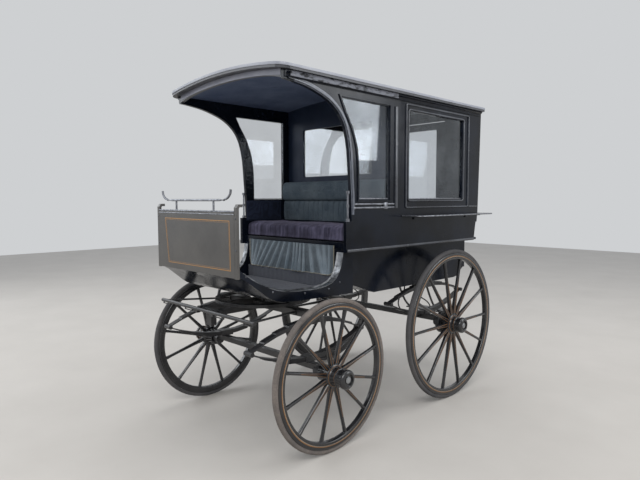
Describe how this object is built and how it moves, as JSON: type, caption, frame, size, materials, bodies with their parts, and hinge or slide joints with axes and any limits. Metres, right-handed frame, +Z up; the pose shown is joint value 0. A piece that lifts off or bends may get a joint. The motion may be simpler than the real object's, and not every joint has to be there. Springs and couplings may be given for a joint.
{
  "type": "horse drawn carriage",
  "caption": "Closed horse drawn station omnibus with a glazed body, curved front pillars, driver's seat and dash, rear door, elliptic springs and wooden spoked wheels.",
  "frame": {"origin": "on the ground, under the middle of the length and width", "axes": "+Z up, +Y towards the rear, so the horses pull towards -Y, and +X the carriage's left side"},
  "size_m": [1.626, 2.601, 2.356],
  "materials": {
    "black_paint": "gloss coach paint",
    "black_iron": "black painted iron",
    "tyre_rubber": "grey solid rubber",
    "black_rubber": "rubber covered",
    "worn_steel": "worn bright",
    "cloth": "wool cloth",
    "velour": "deep pile",
    "carpet": "ribbed",
    "lining": "plain cloth",
    "window_glass": "clear",
    "plated_handle": "polished"
  },
  "bodies": {
    "body": {"bench_cushion_left": "velour", "bench_cushion_right": "velour", "bench_left": "black_paint", "bench_right": "black_paint", "body_side_left": "black_paint", "body_side_right": "black_paint", "brake_cable_left": "black_rubber", "brake_cable_right": "black_rubber", "brake_hose_left": "black_rubber", "brake_hose_right": "black_rubber", "dashboard": "black_paint", "driver_backrest": "cloth", "driver_cushion": "velour", "driver_footwell": "black_paint", "driver_seat_board": "black_paint", "floor_carpet": "carpet", "grab_handle_left": "black_iron", "grab_handle_right": "black_iron", "lower_body": "black_paint", "mudguard_left": "black_paint", "mudguard_right": "black_paint", "partition": "black_paint", "partition_glass": "window_glass", "quarter_glass_left": "window_glass", "quarter_glass_right": "window_glass", "rear_axle": "black_iron", "rear_frame": "black_paint", "rear_spring_left": "black_iron", "rear_spring_right": "black_iron", "rear_step": "black_iron", "rein_rail": "black_iron", "roof": "black_paint", "roof_lining": "lining", "scuff_plate_left": "worn_steel", "scuff_plate_right": "worn_steel", "seat_fall": "cloth", "side_glass_left": "window_glass", "side_glass_right": "window_glass", "transom": "black_paint"},
    "wheel_front_left_body": {"wheel_front_left": "black_paint", "tyre_front_left": "tyre_rubber"},
    "wheel_front_right_body": {"wheel_front_right": "black_paint", "tyre_front_right": "tyre_rubber"},
    "wheel_rear_left_body": {"wheel_rear_left": "black_paint", "tyre_rear_left": "tyre_rubber", "brake_drum_rear_left": "black_iron"},
    "wheel_rear_right_body": {"wheel_rear_right": "black_paint", "tyre_rear_right": "tyre_rubber", "brake_drum_rear_right": "black_iron"},
    "fore_carriage": {"fore_carriage_frame": "black_paint", "splinter_bar": "black_iron", "front_axle": "black_iron", "front_spring_left": "black_iron", "front_spring_right": "black_iron"},
    "door": {"rear_door": "black_paint", "door_glass": "window_glass", "door_handle": "plated_handle"}
  },
  "joints": [
    {"name": "fore_carriage_turn", "type": "hinge", "parent": "body", "child": "fore_carriage", "pos_m": [0, -0.7605, 0.86], "axis": [0, 0, 1], "range_deg": [-30, 30]},
    {"name": "rear_door_swing", "type": "hinge", "parent": "body", "child": "door", "pos_m": [-0.266, 1.1025, 1.5], "axis": [0, 0, 1], "range_deg": [0, 100]},
    {"name": "wheel_front_left_turn", "type": "hinge", "parent": "fore_carriage", "child": "wheel_front_left_body", "pos_m": [0.68, -0.7605, 0.475], "axis": [1, 0, 0], "continuous": true},
    {"name": "wheel_front_right_turn", "type": "hinge", "parent": "fore_carriage", "child": "wheel_front_right_body", "pos_m": [-0.68, -0.7605, 0.475], "axis": [1, 0, 0], "continuous": true},
    {"name": "wheel_rear_left_turn", "type": "hinge", "parent": "body", "child": "wheel_rear_left_body", "pos_m": [0.68, 0.5615, 0.579], "axis": [1, 0, 0], "continuous": true},
    {"name": "wheel_rear_right_turn", "type": "hinge", "parent": "body", "child": "wheel_rear_right_body", "pos_m": [-0.68, 0.5615, 0.579], "axis": [1, 0, 0], "continuous": true}
  ]
}
